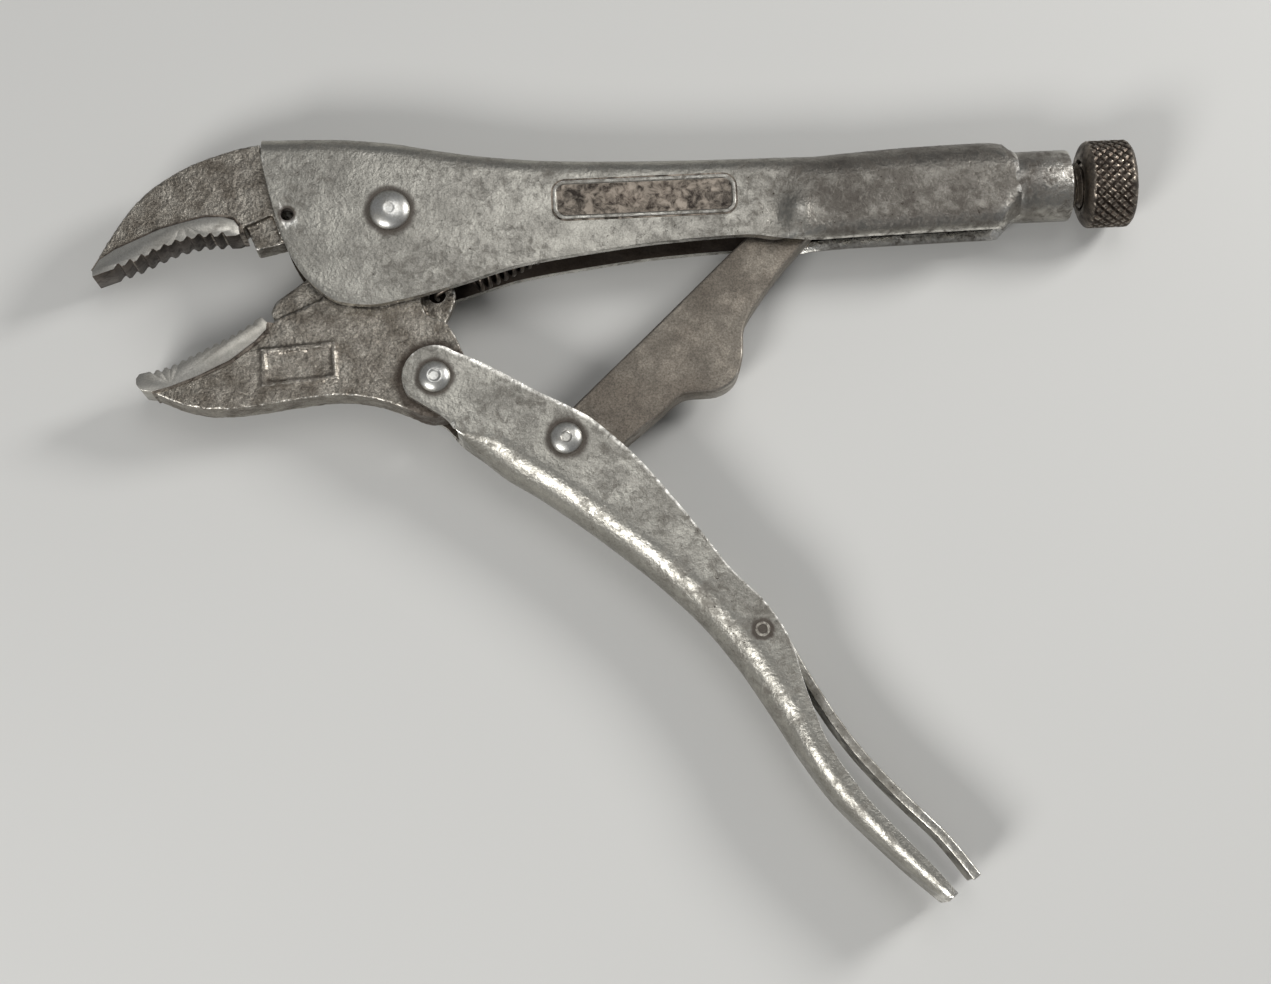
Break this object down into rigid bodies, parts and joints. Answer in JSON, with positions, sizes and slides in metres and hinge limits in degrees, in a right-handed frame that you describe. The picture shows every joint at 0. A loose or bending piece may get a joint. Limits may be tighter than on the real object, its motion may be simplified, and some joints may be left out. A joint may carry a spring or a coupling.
{
  "type": "locking pliers",
  "caption": "Curved-jaw locking pliers with channel handles, over-centre link, release lever, wire cutter and knurled adjusting knob, lying open on one side.",
  "frame": {"origin": "under the middle of the tool's outline, on the plane its side rests on", "axes": "+X along the adjusting screw from the jaws to the knob, +Y from the lower handle towards the upper handle's back, +Z along the pivots, up from the side it lies on"},
  "size_m": [0.2524, 0.19, 0.0214],
  "materials": {
    "nickel_steel": "worn nickel plating",
    "forged_steel": "forged, ground on the gripping faces",
    "rivet_steel": "satin",
    "dark_steel": "oiled, blackened"
  },
  "bodies": {
    "frame": {"upper_handle": "nickel_steel", "upper_jaw": "forged_steel", "jaw_rivet": "rivet_steel", "return_spring": "dark_steel"},
    "lower_jaw": {"lower_jaw": "forged_steel"},
    "lower_handle": {"lower_handle": "nickel_steel", "handle_rivet": "rivet_steel", "link_rivet": "rivet_steel", "release_lever_pin": "dark_steel"},
    "toggle_link": {"toggle_link": "forged_steel"},
    "release_lever": {"release_lever": "nickel_steel"},
    "screw": {"adjusting_screw": "dark_steel"},
    "knob": {"adjusting_knob": "nickel_steel"}
  },
  "joints": [
    {"name": "handle_swing", "type": "hinge", "parent": "lower_jaw", "child": "lower_handle", "pos_m": [-0.0455, 0.03338, 0.0107], "axis": [0, 0, 1], "range_deg": [0, 67.4]},
    {"name": "jaw_swing", "type": "hinge", "parent": "frame", "child": "lower_jaw", "pos_m": [-0.0547, 0.07488, 0.0107], "axis": [0, 0, -1], "range_deg": [0, 21.4], "stiffness_Nm_per_rad": 0.4, "springref_deg": -8.59, "deforming": ["return_spring"]},
    {"name": "link_swing", "type": "hinge", "parent": "lower_handle", "child": "toggle_link", "pos_m": [-0.0151, 0.01708, 0.0107], "axis": [0, 0, -1], "range_deg": [0, 67]},
    {"name": "lever_press", "type": "hinge", "parent": "lower_handle", "child": "release_lever", "pos_m": [0.0283, -0.03042, 0.0107], "axis": [0, 0, -1], "range_deg": [0, 4]},
    {"name": "knob_turn", "type": "hinge", "parent": "screw", "child": "knob", "pos_m": [0.12, 0.07618, 0.0107], "axis": [1, 0, 0], "range_deg": [0, 3968.9]},
    {"name": "screw_travel", "type": "slide", "parent": "frame", "child": "screw", "axis": [1, 0, 0], "range_m": [0, 0.02]}
  ],
  "couplings": [
    {"joint": "jaw_swing", "follows": "handle_swing", "ratio": 0.31751},
    {"joint": "link_swing", "follows": "handle_swing", "ratio": 0.99406},
    {"joint": "knob_turn", "follows": "screw_travel", "rad_per_m": 3463.2}
  ]
}
